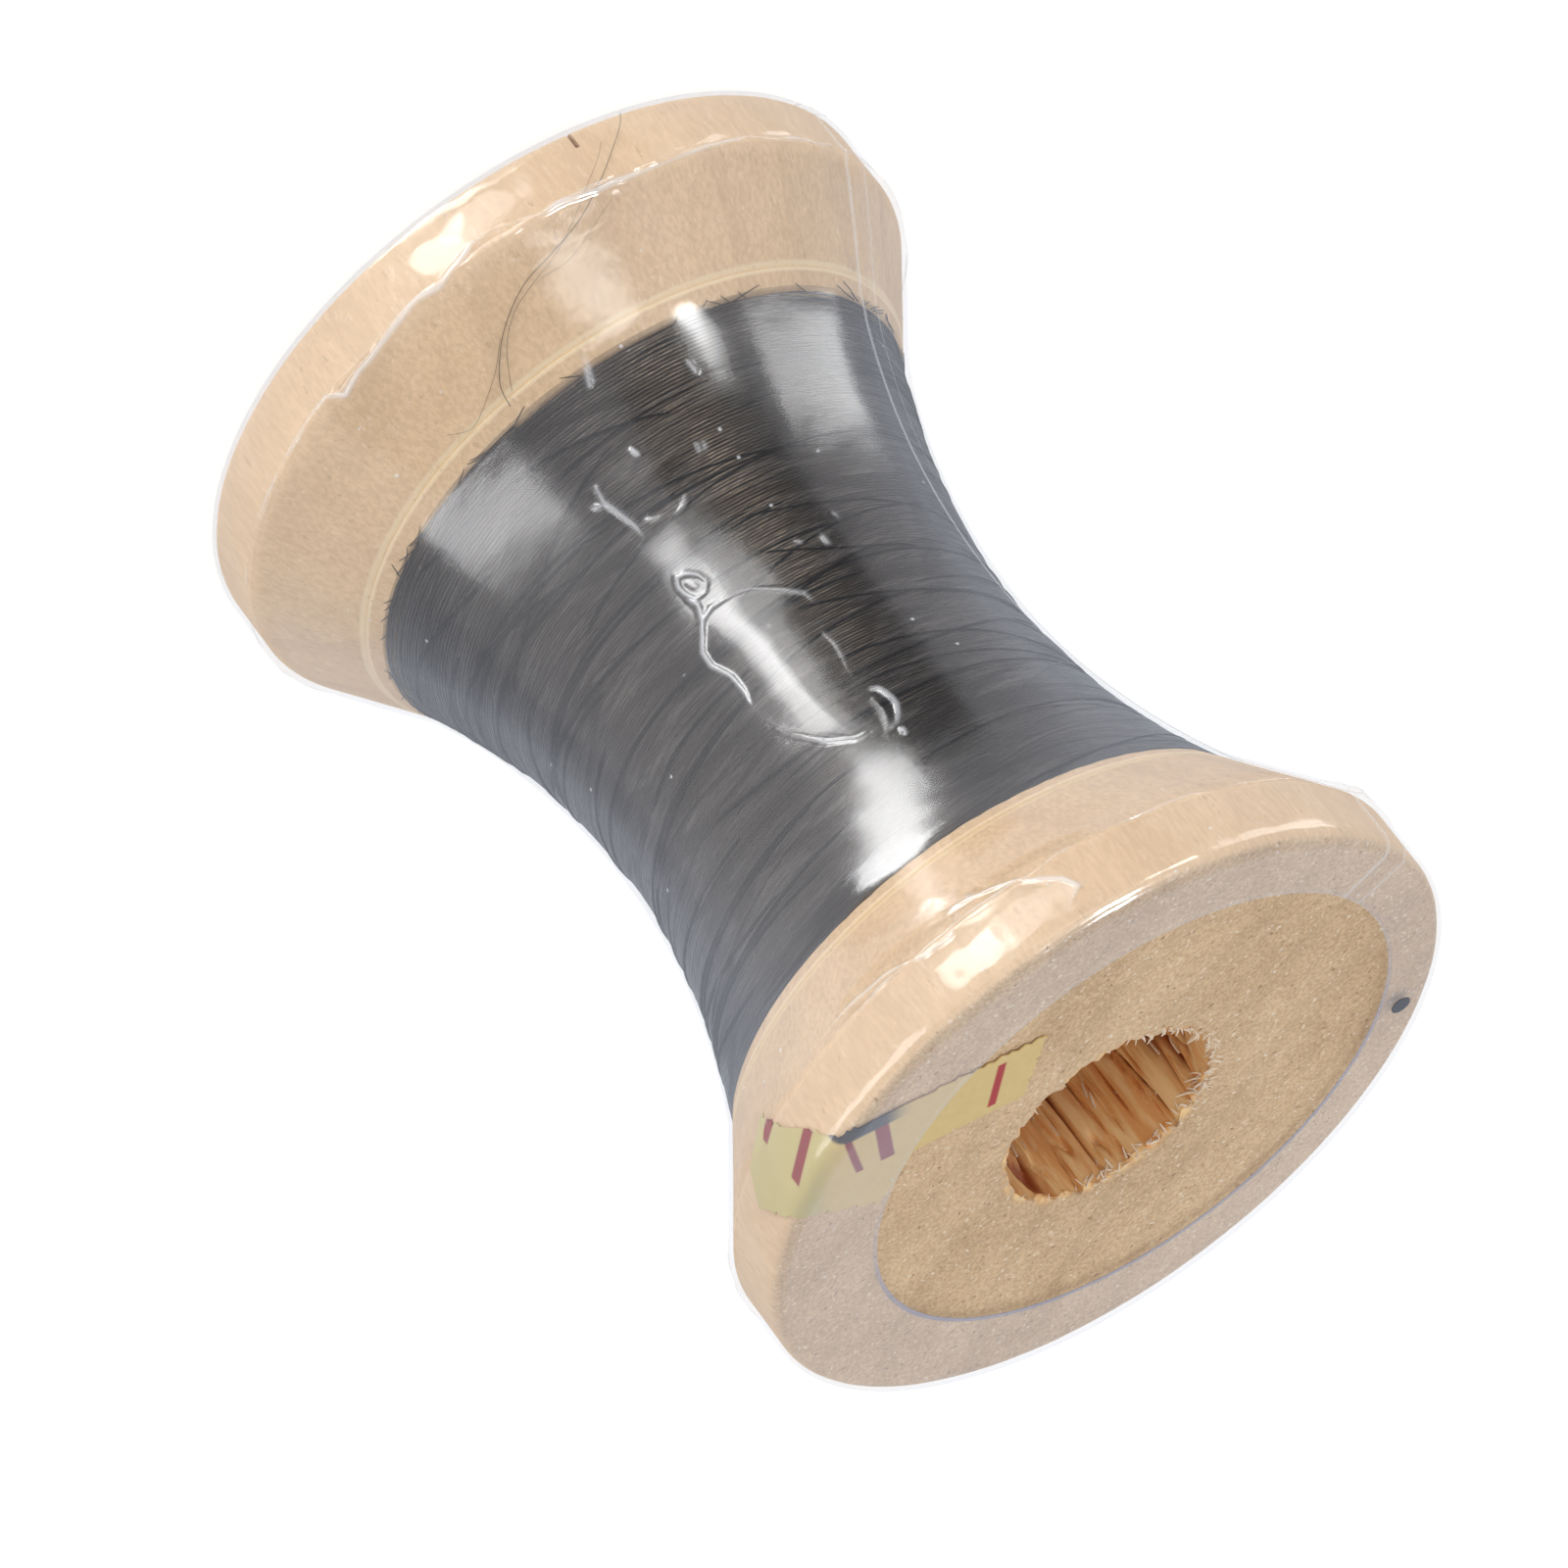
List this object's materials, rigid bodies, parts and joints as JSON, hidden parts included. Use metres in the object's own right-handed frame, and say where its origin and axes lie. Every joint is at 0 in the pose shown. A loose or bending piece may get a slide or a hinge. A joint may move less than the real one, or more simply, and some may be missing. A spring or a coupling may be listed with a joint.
{
  "type": "thread spool",
  "caption": "Turned wooden spool of fine dark thread with a paper strip over one rim, in a clear shrink sleeve; a through bore takes a spool pin.",
  "frame": {"origin": "centre of the lower end, on the surface that the spool stands on", "axes": "+Z along the spool's axis, towards the end with the paper strip; -Y is the side where the loose thread end crosses the cone"},
  "size_m": [0.026, 0.026, 0.035],
  "materials": {
    "maple": "bare, fine sanded",
    "dark_thread": "silk sheen",
    "label_paper": "printed, matt",
    "clear_film": "clear, glossy"
  },
  "bodies": {
    "root": {"spool_body": "maple", "thread_core": "dark_thread", "thread_outer_layer": "dark_thread", "thread_tail": "dark_thread", "paper_label": "label_paper", "film_sleeve": "clear_film"}
  },
  "joints": []
}
